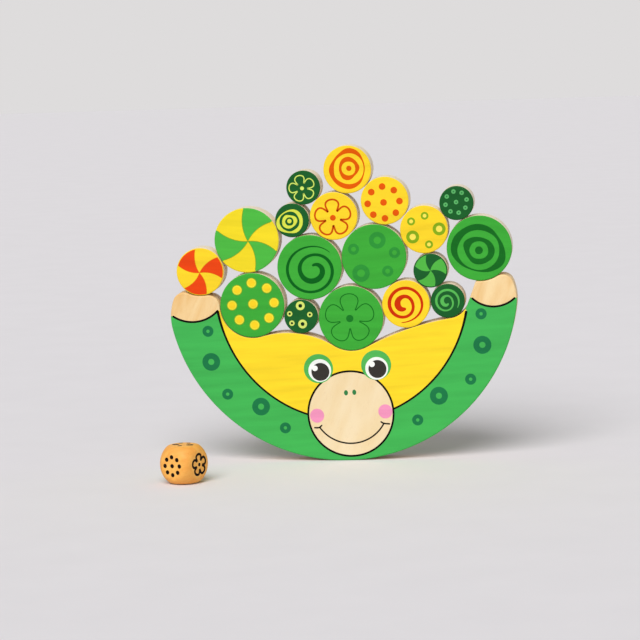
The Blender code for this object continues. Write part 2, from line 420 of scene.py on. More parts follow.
@dataclass(frozen=True)
class StudioPaper(Finish):
    """Matt seamless paper: an even pale grey with a trace of mottle."""

    name: str = "studio_paper"
    colour: str = "#E8E5E8"
    mottle_mm: float = 40.0
    mottle_tone: float = 0.98  # how much of the colour is left in the mottle
    roughness: float = 0.9

    def shade(self, tree: Nodes) -> Socket:
        """Colour the paper with its mottle.

        Args:
            tree: the material's nodes.

        Returns:
            The shader.
        """
        place = add_node(tree, "TexCoord")["Object"]
        cells = {"Vector": place, "Scale": 1 / (self.mottle_mm * MM), "Detail": 3.0}
        mottle = add_node(tree, "TexNoise", cells)[0]
        full, pale = linear(self.colour), linear(self.colour, self.mottle_tone)
        tones = {SHARE: mottle, UNDER: full, OVER: pale}
        colour = add_node(tree, "Mix", tones, data_type="RGBA")[MIXED]
        return add_node(tree, "BsdfPrincipled", {"Base Color": colour, "Roughness": self.roughness})[0]


DISC_BEECH = Timber("beech_disc", ("#F2E6CF", "#E4D1AE"), "#BFA077")
BOARD_BEECH = Timber(
    "beech_board", ("#EFDAB4", "#EACF9F"), "#C79C66", streak_mm=(30.0, 7.0, 8.0), streak_share=0.80,
    fleck_share=0.12, ends_tones=("#F3D6A2", "#E2AF66"),
)
DIE_BEECH = Timber(
    "beech_steamed", ("#FBBE60", "#EC983C"), "#B46320", streak_mm=(40.0, 1.7, 3.0), rounded_tone="#D67E2A",
    rounded_share=0.30,
)


@dataclass
class Shape:
    """Closed surfaces as arrays: points, and faces grouped by their number of corners."""

    points: Array
    faces: list[Numbers]

    @classmethod
    def joined(cls, shapes: Sequence["Shape"]) -> "Shape":
        """Join several shapes, in order.

        Args:
            shapes: the shapes.

        Returns:
            One shape with all their points and faces.
        """
        starts = np.cumsum([0] + [len(shape.points) for shape in shapes])
        faces = [group + start for shape, start in zip(shapes, starts) for group in shape.faces]
        return cls(np.concatenate([shape.points for shape in shapes]), faces)

    def put(self, name: str, finish: Finish) -> bpy.types.Object:
        """Put the shape into the scene.

        Args:
            name: the object's name.
            finish: what it is finished with.

        Returns:
            The object, flat shaded, at the origin.
        """
        mesh = bpy.data.meshes.new(name)
        corners = [corner for group in self.faces for corner in group.tolist()]
        mesh.from_pydata(self.points.tolist(), [], corners)
        mesh.update()
        mesh.materials.append(finish.material())
        piece = bpy.data.objects.new(name, mesh)
        bpy.context.scene.collection.objects.link(piece)
        return piece


def skin(grid: Numbers) -> Numbers:
    """Quads of a grid of point numbers, which turn outwards when rows go back and steps run anticlockwise."""
    return np.stack([grid[:-1, :-1], grid[1:, :-1], grid[1:, 1:], grid[:-1, 1:]], axis=-1).reshape(-1, 4)


def wrapped(grid: Numbers) -> Numbers:
    """A grid whose last step joins the first."""
    return np.concatenate([grid, grid[:, :1]], axis=1)


def loft(flat: Array, depth: Array) -> tuple[Array, Numbers]:
    """Rows of flat points set at their depths, front first, and the grid of their numbers."""
    points = np.insert(flat, 1, depth[:, None], axis=-1).reshape(-1, 3)
    return points, np.arange(len(points)).reshape(flat.shape[:2])


def capped(flat: Array, depth: Array) -> Shape:
    """Loft of closed rows, with a flat cap on the first and on the last one."""
    points, grid = loft(flat, depth)
    return Shape(points, [skin(wrapped(grid)), grid[None, 0], grid[None, -1, ::-1]])


def turned(points: Array, angle: float) -> Array:
    """Flat points turned anticlockwise about the origin, by an angle in radians."""
    cosine, sine = math.cos(angle), math.sin(angle)
    return points @ np.array([[cosine, sine], [-sine, cosine]])


def polar(angle: Array, reach: Array | float, x: float = 0.0, z: float = 0.0) -> Array:
    """Points in directions from a middle, at distances from it."""
    return np.stack([x + reach * np.cos(angle), z + reach * np.sin(angle)], axis=1)


def rightward(along: Array) -> Array:
    """Unit normals to the right of directions."""
    along = along / np.linalg.norm(along, axis=1, keepdims=True)
    return np.stack([along[:, 1], -along[:, 0]], axis=1)


def outward(edge: Array) -> Array:
    """Unit normals of a closed outline, to the right of the way from each point's neighbour to the next."""
    return rightward(np.roll(edge, -1, axis=0) - np.roll(edge, 1, axis=0))


def through(knots: Array, values: Array, at: Array) -> Array:
    """Smooth curve through values: cubic pieces whose slope at a knot is that between its neighbours.

    Args:
        knots: (n,) rising places of the values.
        values: (n,) values.
        at: places to read.

    Returns:
        The curve at those places.
    """
    slopes = np.gradient(values, knots)
    piece = np.clip(np.searchsorted(knots, at, side="right") - 1, 0, len(knots) - 2)
    width = knots[piece + 1] - knots[piece]
    share = (at - knots[piece]) / width
    rise = 3 * share**2 - 2 * share**3
    start = values[piece] * (1 - rise) + values[piece + 1] * rise
    enter = slopes[piece] * share * (1 - share) ** 2
    leave = slopes[piece + 1] * share**2 * (1 - share)
    return start + width * (enter - leave)


def sanded_plank(edge: Array, half: float) -> Shape:
    """Plank with sanded edges: an outline carried through a support row and a quarter round on each side.

    Point (row, step) is the outline's step, moved in along its normal by the row's inset, at the row's depth.

    Args:
        edge: (n, 2) outline.
        half: half the plank's thickness.

    Returns:
        The plank.
    """
    turn = np.linspace(0.0, math.pi / 2, EDGE_STEPS)
    inset = np.concatenate([[EDGE_SUPPORT], EDGE_ROUNDING * (1 - np.sin(turn))])
    depth = np.concatenate([[0.0], EDGE_ROUNDING * (1 - np.cos(turn))]) - half
    inset = np.concatenate([inset, inset[::-1]])
    return capped(edge - inset[:, None, None] * outward(edge), np.concatenate([depth, -depth[::-1]]))


def roll_section(half: float, build: float) -> Array:
    """Section of ink rolled over a sanded edge: out along the quarter round, and back inside the wood.

    Args:
        half: half the plank's thickness.
        build: the film's thickness.

    Returns:
        (rows, 2) shares of the roll's reach and depths, front first.
    """
    turn = np.linspace(0.0, ROLL_TURN, EDGE_STEPS)
    rows = []
    for radius, angles in ((EDGE_ROUNDING + build, turn), (EDGE_ROUNDING - INK_BITE, turn[::-1])):
        inset = EDGE_ROUNDING - radius * np.sin(angles)
        depth = EDGE_ROUNDING - half - radius * np.cos(angles)
        rows.append(np.stack([inset, depth], axis=1))
    top, low = [[ROLL_REACH, -half - build]], [[ROLL_REACH, INK_BITE - half]]
    return np.concatenate([top, *rows, low]) / (ROLL_REACH, 1.0)


@dataclass(frozen=True)
class Place:
    """Where a flat drawing lies on the front: its origin, turn and scale."""

    x: float
    z: float
    turn: float = 0.0
    scale: float = 1.0

    def carry(self, drawn: Array) -> Array:
        """Scale, turn and shift a drawing."""
        return turned(self.scale * drawn, self.turn) + (self.x, self.z)


@dataclass(frozen=True)
class Oval:
    """An upright ellipse on the sheet, or a circle where only one radius is given."""

    x: float
    z: float
    across: float
    up: float = 0.0

    def radii(self) -> Pair:
        """Both half axes."""
        return self.across, self.up or self.across

    def arc(self, start: float, end: float, count: int) -> Array:
        """That many points at even directions: middle plus half axes times cosine and sine."""
        return polar(np.linspace(start, end, count), 1.0) * self.radii() + (self.x, self.z)

    def edge(self, count: int) -> Array:
        """Closed outline with that many points."""
        return self.arc(0.0, 2 * math.pi, count + 1)[:-1]

    def holds(self, points: Array) -> NDArray[np.bool_]:
        """Which points lie inside."""
        return ((points - (self.x, self.z)) ** 2 / np.square(self.radii())).sum(axis=1) < 1

    def direction(self, point: Array) -> float:
        """Direction of a point from the middle, as the arc counts it."""
        across, up = self.radii()
        return math.atan2((point[1] - self.z) / up, (point[0] - self.x) / across)

    def between(self, first: Array, last: Array, count: int) -> Array:
        """Arc from the direction of one point to that of another."""
        return self.arc(self.direction(first), self.direction(last), count)


@dataclass(frozen=True)
class Film:
    """One printed shape: an ink, a layer, and its edges."""

    ink: Ink
    layer: int
    cover: Cover
    right: Array  # closed or outer edge, or a line's right edge
    left: Array

    @classmethod
    def patch(cls, ink: Ink, layer: int, edge: Array) -> "Film":
        """Film that fills a closed edge."""
        return cls(ink, layer, Cover.PATCH, edge, edge)

    @classmethod
    def ring(cls, ink: Ink, layer: int, outer: Oval, inner: Oval, steps: int = RING_STEPS) -> "Film":
        """Film between two ovals."""
        return cls(ink, layer, Cover.BAND, outer.edge(steps), inner.edge(steps))

    @classmethod
    def line(cls, ink: Ink, layer: int, path: Array, width: Array | float) -> "Film":
        """Film along a path: the path moved half the width to each side, drawn in round at its ends.

        Args:
            ink: the ink.
            layer: the layer.
            path: (n, 2) points.
            width: one width, or one for each point.

        Returns:
            The film.
        """
        run = np.concatenate([[0.0], np.cumsum(np.linalg.norm(np.diff(path, axis=0), axis=1))])
        half = np.broadcast_to(np.asarray(width, dtype=float), run.shape) / 2
        drawn_in = np.clip(1 - np.minimum(run, run[-1] - run) / half, 0, 1)
        half = half * np.sqrt(np.clip(1 - drawn_in**2, LINE_TIP, 1))
        side = half[:, None] * rightward(np.gradient(path, axis=0))
        return cls(ink, layer, Cover.LINE, path + side, path - side)

    def placed(self, place: Place) -> "Film":
        """The same film, carried to its place."""
        return replace(self, right=place.carry(self.right), left=place.carry(self.left))

    def shape(self, front: float, back: float) -> Shape:
        """Give the film its thickness: both edges at both depths, joined round.

        Args:
            front: depth of its front.
            back: depth of its back.

        Returns:
            The closed film.
        """
        if self.cover is Cover.PATCH:
            return capped(np.stack([self.right, self.right]), np.array([front, back]))
        return self.swept(np.array([[0.0, front], [0.0, back], [1.0, back], [1.0, front]]))

    def ringed(self, front: float, back: float) -> Shape:
        """Fill a closed edge with rings that shrink to its middle, so that it can follow a rounded surface.

        Point (row, step) lies that row's share of the way from the middle to the edge: out along the front
        and in again along the back.

        Args:
            front: depth of its front.
            back: depth of its back.

        Returns:
            The closed film.
        """
        middle = self.right.mean(axis=0)
        share = np.linspace(FILL_START, 1.0, FILL_RINGS)
        share = np.concatenate([share, share[::-1]])[:, None, None]
        return capped(middle + share * (self.right - middle), np.repeat([front, back], FILL_RINGS))

    def swept(self, section: Array) -> Shape:
        """Carry a closed section along the film's two edges.

        Point (row, step) lies that row's share of the way from the right edge to the left one, at its depth.

        Args:
            section: (rows, 2) shares and depths, from the front round the right edge.

        Returns:
            The closed film.
        """
        share = section[:, 0, None, None]
        points, grid = loft(self.right * (1 - share) + self.left * share, section[:, 1])
        tube = np.concatenate([grid, grid[:1]])
        if self.cover in (Cover.BAND, Cover.RIM):
            return Shape(points, [skin(wrapped(tube))])
        return Shape(points, [skin(tube), grid[None, ::-1, 0], grid[None, :, -1]])

    def both_sides(self, half: float) -> Shape:
        """The film on a plank's front, and the same one on its back.

        Args:
            half: half the plank's thickness.

        Returns:
            Both films in one shape.
        """
        if self.cover in (Cover.RIM, Cover.EDGE):
            section = roll_section(half, self.layer * INK_BUILD)
            return Shape.joined([self.swept(section), self.swept(section[::-1] * (1.0, -1.0))])
        top, low = half + self.layer * INK_BUILD, half - INK_BITE
        return Shape.joined([self.shape(-top, -low), self.shape(low, top)])


def box_of(node: str) -> tuple[Array, Array]:
    """Middle and half sides of a CAD node's box."""
    low, high = (np.array(corner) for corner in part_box(node))
    return (low + high) / 2, (high - low) / 2


@dataclass(frozen=True)
class Stock:
    """The wood of one solid: its node, body and slot, and how the plank's grain runs through it."""

    node: str
    body: str
    slot: str
    origin: Array
    turn: float
    start: Array

    def add(self, ending: str, shape: Shape, finish: Finish) -> bpy.types.Object:
        """Add a piece that rides on the body and knows where its points lie in the plank.

        A point is turned about the solid's middle, so that its first coordinate runs along the grain, and
        shifted to the solid's own stretch of the plank.

        Args:
            ending: the end of the piece's name.
            shape: its surface, in place.
            finish: what it is finished with.

        Returns:
            The piece.
        """
        piece = shape.put(f"{self.node}_{ending}", finish)
        if finish.smooth:
            piece.data.shade_smooth()
        places = shape.points - self.origin
        places[:, ::2] = turned(places[:, ::2], -self.turn)
        attribute = piece.data.attributes.new(GRAIN, "FLOAT_VECTOR", "POINT")
        attribute.data.foreach_set("vector", (places + self.start).ravel())
        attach(piece, self.body)
        LOG.info("%s: %d points on %s", piece.name, len(shape.points), self.body)
        return piece

    def add_print(self, films: Sequence[Film], half: float) -> None:
        """Add a print on both sides of the wood, one piece for each ink.

        Args:
            films: the films, in place.
            half: half the wood's thickness.
        """
        for ink in dict.fromkeys(film.ink for film in films):
            shape = Shape.joined([film.both_sides(half) for film in films if film.ink is ink])
            self.add(ink.name.lower(), shape, ScreenInk(ink))


@dataclass(frozen=True, kw_only=True)
class Motif:
    """A motif on a sheet one unit in radius, and its inks."""

    main: Ink
    accent: Ink | None = None  # a second colour inside the motif
    trap: Ink | None = None  # the darker line where two inks overlap
    ground: Ink | None = None  # the coat below it, where that isn't the usual one

    def films(self) -> list[Film]:
        """Draw the motif."""
        raise NotImplementedError


@dataclass(frozen=True)
class Flower(Motif):
    """Five petals drawn as separate strokes round a heart, which has the accent if there is one.

    Half a petal is given from its tip to its foot: how far each point is from the petal's middle line, and
    how far out from the heart.
    """

    x: float
    z: float
    first_deg: float
    line: float
    heart: float
    scale: float = 1.0
    petals: int = 5
    petal_points: int = 81
    half_petal: tuple[Pair, ...] = (
        (0.0, 0.765), (0.135, 0.74), (0.245, 0.655), (0.275, 0.53), (0.23, 0.38), (0.17, 0.25),
    )

    def films(self) -> list[Film]:
        """Draw the petals: a smooth stroke from foot to foot over the tip, turned about the heart.

        Returns:
            The heart, and one line for each petal.
        """
        heart = Oval(self.x, self.z, self.heart).edge(DOT_STEPS)
        films = [Film.patch(self.accent or self.main, DRAWING, heart)]
        across, out = np.array(self.half_petal).T
        across = np.concatenate([-across[:0:-1], across])
        out = np.concatenate([out[:0:-1], out])
        run = np.arange(len(out), dtype=float)
        at = np.linspace(0.0, run[-1], self.petal_points)
        petal = np.stack([through(run, out, at), through(run, across, at)], axis=1)
        for number in range(self.petals):
            turn = math.radians(self.first_deg + number * 360 / self.petals)
            place = Place(self.x, self.z, turn, self.scale)
            films.append(Film.line(self.main, DRAWING, place.carry(petal), self.line))
        return films


@dataclass(frozen=True)
class Spiral(Motif):
    """A brush spiral that winds out clockwise and thins towards its tail.

    Each knot is a direction in degrees, the distance from the spiral's middle, and the brush's width there.
    """

    x: float
    z: float
    knots: tuple[Triple, ...]
    points_per_knot: int = 24

    def films(self) -> list[Film]:
        """Draw the stroke: distance and width are smooth functions of the direction.

        Returns:
            The stroke.
        """
        turn, reach, width = np.array(self.knots).T
        wound = -np.radians(turn)
        at = np.linspace(wound[0], wound[-1], self.points_per_knot * len(wound))
        path = polar(-at, through(wound, reach, at), self.x, self.z)
        return [Film.line(self.main, DRAWING, path, through(wound, width, at))]


@dataclass(frozen=True)
class Swirl(Motif):
    """Three bent sectors that meet at a middle, with borders given by their directions at the rim.

    The trap, if there is one, runs along the borders.
    """

    x: float
    z: float
    borders_deg: tuple[Pair, ...]
    rim: float
    bleed: float = 0.0  # how far in from the edge the sectors roll over it
    twist_deg: float = 24.0
    trap_line: float = 0.016
    side_points: int = 40

    def border(self, angle_deg: float, share: Array) -> Array:
        """Border from the middle to the rim, bent by the twist, at shares of its length from 0 to 1."""
        rim = polar(np.radians(angle_deg + self.twist_deg * (1 - share)), self.rim)
        return (1 - share)[:, None] * (self.x, self.z) + share[:, None] * rim

    def films(self) -> list[Film]:
        """Draw each sector out along one border, round the rim and back along the other.

        Returns:
            The sectors and the lines.
        """
        films = []
        share = np.linspace(0.0, 1.0, self.side_points)
        for start, end in self.borders_deg:
            rim, edge, inner = (
                Oval(0.0, 0.0, radius).arc(math.radians(start), math.radians(end), self.side_points)
                for radius in (self.rim, 1.0, 1 - self.bleed)
            )
            sector = [self.border(start, share[1:]), rim[1:-1], self.border(end, share[::-1])]
            films.append(Film.patch(self.main, DRAWING, np.concatenate(sector)))
            if self.bleed:
                films.append(Film(self.main, DRAWING, Cover.EDGE, edge, inner))
            if self.trap:
                borders = [self.border(angle, share) for angle in (start, end)]
                films += [Film.line(self.trap, DETAIL, border, self.trap_line) for border in borders]
        return films


@dataclass(frozen=True)
class Dots(Motif):
    """Eight dots in a ring and one in the middle. The trap is a line round each, the accent a pit in it."""

    x: float
    z: float
    ring: float
    dot: float
    first_deg: float
    count: int = 8
    trap_line: float = 0.020
    pit: float = 0.032

    def films(self) -> list[Film]:
        """Draw the dots at even directions round the middle.

        Returns:
            The dots with their lines and pits.
        """
        angles = np.radians(self.first_deg + np.arange(self.count) * 360 / self.count)
        places = [(self.x, self.z), *polar(angles, self.ring, self.x, self.z)]
        layers = (
            (self.main, DETAIL, self.dot, DOT_STEPS),
            (self.trap, DRAWING, self.dot + self.trap_line, DOT_STEPS),
            (self.accent, FINEST, self.pit, PIT_STEPS),
        )
        return [
            Film.patch(ink, layer, Oval(x, z, radius).edge(steps))
            for x, z in places
            for ink, layer, radius, steps in layers
            if ink
        ]


@dataclass(frozen=True)
class Circles(Motif):
    """Five thick rings, each given by its middle and its radius. The accent fills their holes."""

    rings: tuple[Triple, ...]
    hole: float = 0.44

    def films(self) -> list[Film]:
        """Draw each ring between two circles.

        Returns:
            The rings and the fillings of their holes.
        """
        films = []
        for x, z, radius in self.rings:
            inner = Oval(x, z, radius * self.hole)
            films.append(Film.ring(self.main, DRAWING, Oval(x, z, radius), inner))
            if self.accent:
                films.append(Film.patch(self.accent, DRAWING, inner.edge(RING_STEPS)))
        return films


@dataclass(frozen=True)
class Rings(Motif):
    """A dot and two brush rings of uneven width, drawn by hand round one middle.

    Each ring is given by its outer edge and then its inner one: distances from the middle in even directions,
    anticlockwise from the right.
    """

    x: float
    z: float
    dot: float
    reaches: tuple[tuple[float, ...], ...]
    edge_points: int = 144

    def edge(self, reach: Sequence[float]) -> Array:
        """Closed outline: a smooth curve through the distances, which starts again at its end.

        Args:
            reach: the distances.

        Returns:
            (n, 2) points.
        """
        # Two knots more past each end, so that the curve is as smooth where it starts again
        knots = np.arange(-2, len(reach) + 3)
        at = np.arange(self.edge_points) * len(reach) / self.edge_points
        distance = through(knots, np.array(reach)[knots % len(reach)], at)
        return polar(at * 2 * math.pi / len(reach), distance, self.x, self.z)

    def films(self) -> list[Film]:
        """Draw the dot and the rings.

        Returns:
            The films.
        """
        dot = Film.patch(self.main, DRAWING, Oval(self.x, self.z, self.dot).edge(CHEEK_STEPS))
        edges = [self.edge(reach) for reach in self.reaches]
        return [dot] + [Film(self.main, DRAWING, Cover.BAND, *band) for band in zip(edges[::2], edges[1::2])]


LARGE_BLEED = ROLL_REACH / (19.0 * MM)  # in radii of the large disc
BASE_INKS = {LARGE: Ink.LARGE_GREEN, MEDIUM: Ink.MEDIUM_YELLOW, SMALL: Ink.SMALL_GREEN}

# What is printed on each disc, in disc radii
ARTWORK: dict[tuple[DiscSize, MotifName], Motif] = {
    (LARGE, FLOWER): Flower(
        -0.037, -0.006, 88, line=0.030, heart=0.112, main=Ink.LARGE_PETAL, accent=Ink.LARGE_HEART
    ),
    (MEDIUM, FLOWER): Flower(
        -0.037, -0.067, 90, line=0.074, heart=0.12, main=Ink.MEDIUM_PETAL, accent=Ink.MEDIUM_ORANGE
    ),
    (SMALL, FLOWER): Flower(-0.07, -0.037, 102, line=0.064, heart=0.115, main=Ink.SMALL_PETAL),
    (LARGE, SPIRAL): Spiral(
        0.06, -0.06, (
            (74, 0.10, 0.06), (0, 0.32, 0.15), (-90, 0.366, 0.165), (-180, 0.366, 0.125),
            (-270, 0.43, 0.085), (-360, 0.63, 0.10), (-450, 0.70, 0.080), (-540, 0.75, 0.090),
            (-630, 0.70, 0.045), (-682, 0.77, 0.020),
        ), main=Ink.LARGE_DEEP,
    ),
    (MEDIUM, SPIRAL): Spiral(
        -0.04, -0.03, (
            (-80, 0.137, 0.11), (-180, 0.305, 0.26), (-270, 0.354, 0.155), (-360, 0.33, 0.13),
            (-450, 0.50, 0.12), (-540, 0.646, 0.15), (-630, 0.70, 0.125), (-720, 0.713, 0.105),
            (-810, 0.72, 0.042), (-826, 0.76, 0.030),
        ), main=Ink.MEDIUM_SPIRAL,
    ),
    (SMALL, SPIRAL): Spiral(
        -0.04, -0.04, (
            (-60, 0.12, 0.08), (-110, 0.22, 0.165), (-180, 0.29, 0.215), (-270, 0.34, 0.115),
            (-360, 0.32, 0.105), (-450, 0.51, 0.09), (-540, 0.63, 0.135), (-630, 0.68, 0.13),
            (-720, 0.68, 0.10), (-756, 0.69, 0.03),
        ), main=Ink.SMALL_SPIRAL,
    ),
    (LARGE, SWIRL): Swirl(
        0.04, -0.03, ((92, 158), (-23, 33), (-143, -78)), 1 - LARGE_BLEED, LARGE_BLEED,
        main=Ink.LARGE_LEMON, trap=Ink.OLIVE_TRAP, ground=Ink.LARGE_LIME,
    ),
    (MEDIUM, SWIRL): Swirl(
        -0.03, -0.04, ((98, 160), (-20, 36), (-138, -78)), 0.960, main=Ink.MEDIUM_RED, trap=Ink.AMBER_TRAP
    ),
    (SMALL, SWIRL): Swirl(
        0.0, 0.0, ((101, 160), (-17, 45), (-145, -78)), 0.925, twist_deg=32.0, main=Ink.SMALL_LEAF
    ),
    (LARGE, DOTS): Dots(
        0.03, 0.04, ring=0.655, dot=0.142, first_deg=90, pit=0.108,
        main=Ink.LARGE_RIM, accent=Ink.LARGE_GOLD, trap=Ink.OLIVE_TRAP,
    ),
    (MEDIUM, DOTS): Dots(-0.05, -0.067, ring=0.665, dot=0.137, first_deg=91, main=Ink.MEDIUM_ORANGE),
    (SMALL, DOTS): Dots(
        -0.015, 0.06, ring=0.63, dot=0.130, first_deg=100, pit=0.045,
        main=Ink.SMALL_DOT, accent=Ink.SMALL_SHADE,
    ),
    (LARGE, CIRCLES): Circles(
        (
            (0.14, 0.50, 0.256), (-0.61, 0.274, 0.17), (0.64, 0.085, 0.17), (-0.433, -0.48, 0.268),
            (0.39, -0.47, 0.17),
        ),
        main=Ink.LARGE_CIRCLE,
    ),
    (MEDIUM, CIRCLES): Circles(
        (
            (0.067, 0.567, 0.16), (-0.51, 0.37, 0.165), (0.63, -0.018, 0.268), (-0.49, -0.28, 0.268),
            (0.165, -0.634, 0.165),
        ),
        hole=0.49, main=Ink.MEDIUM_LEAF, accent=Ink.MEDIUM_PALE,
    ),
    (SMALL, CIRCLES): Circles(
        (
            (0.0, 0.63, 0.26), (-0.66, 0.20, 0.157), (0.52, 0.08, 0.157), (-0.57, -0.36, 0.157),
            (0.055, -0.45, 0.26),
        ),
        main=Ink.SMALL_CIRCLE, accent=Ink.SMALL_PIT,
    ),
    (LARGE, RINGS): Rings(
        -0.015, -0.065, 0.12, (
            (0.48, 0.445, 0.405, 0.41, 0.46, 0.515, 0.435, 0.405, 0.43, 0.435, 0.44, 0.475),
            (0.28, 0.28, 0.28, 0.275, 0.285, 0.285, 0.29, 0.28, 0.27, 0.26, 0.28, 0.29),
            (0.78, 0.725, 0.775, 0.81, 0.82, 0.865, 0.85, 0.73, 0.65, 0.665, 0.76, 0.855),
            (0.62, 0.635, 0.615, 0.62, 0.635, 0.635, 0.66, 0.63, 0.60, 0.605, 0.615, 0.625),
        ), main=Ink.LARGE_RING,
    ),
    (MEDIUM, RINGS): Rings(
        0.075, 0.045, 0.11, (
            (0.44, 0.42, 0.435, 0.48, 0.475, 0.43, 0.415, 0.44, 0.50, 0.48, 0.395, 0.40),
            (0.265, 0.275, 0.28, 0.28, 0.295, 0.305, 0.31, 0.31, 0.30, 0.295, 0.295, 0.28),
            (0.662, 0.692, 0.80, 0.84, 0.745, 0.74, 0.835, 0.83, 0.845, 0.86, 0.79, 0.685),
            (0.612, 0.622, 0.63, 0.625, 0.62, 0.635, 0.625, 0.675, 0.655, 0.655, 0.66, 0.632),
        ), main=Ink.MEDIUM_RING,
    ),
    (SMALL, RINGS): Rings(
        -0.155, -0.03, 0.128, (
            (0.465, 0.435, 0.36, 0.35, 0.41, 0.415, 0.425, 0.465, 0.455, 0.43, 0.40, 0.42),
            (0.243, 0.238, 0.233, 0.223, 0.223, 0.228, 0.253, 0.258, 0.273, 0.263, 0.278, 0.258),
            (0.785, 0.795, 0.745, 0.645, 0.605, 0.645, 0.76, 0.81, 0.72, 0.70, 0.79, 0.795),
            (0.588, 0.573, 0.583, 0.548, 0.533, 0.568, 0.583, 0.588, 0.588, 0.608, 0.588, 0.603),
        ), main=Ink.SMALL_RING,
    ),
}


@dataclass
class Disc:
    """A loose disc, cut from a plank: a motif on each face and bare sides."""

    size: DiscSize
    motif: MotifName
    turn_deg: float
    sides: int = 128
    grain_sway: float = 0.12  # most that its grain turns from the level, in radians

    @property
    def node(self) -> str:
        """Name of the disc's node and body."""
        return f"{self.size.value}_disc_{self.motif.value}"

    def build(self, plank: np.random.Generator) -> None:
        """Make the wood and the print, in place of the CAD node.

        Args:
            plank: draws how the grain runs.
        """
        middle, half = box_of(self.node)
        radius, wood_half = half[0], half[1] - PRINT_ROOM
        turn = plank.uniform(-self.grain_sway, self.grain_sway)
        slot = f"{self.size.value}_disc"
        stock = Stock(self.node, self.node, slot, middle, turn, plank.uniform(-1.0, 1.0, 3))
        edge = Oval(middle[0], middle[2], radius).edge(self.sides)
        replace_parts(stock.add("wood", sanded_plank(edge, wood_half), DISC_BEECH), self.node)
        motif = ARTWORK[self.size, self.motif]
        ground = motif.ground or BASE_INKS[self.size]
        edge, inner = (Oval(0.0, 0.0, share).edge(self.sides) for share in (1.0, 1 - ROLL_REACH / radius))
        coat = Film.patch(ground, COAT, inner), Film(ground, COAT, Cover.RIM, edge, inner)
        place = Place(middle[0], middle[2], math.radians(self.turn_deg), radius)
        stock.add_print([film.placed(place) for film in (*coat, *motif.films())], wood_half)


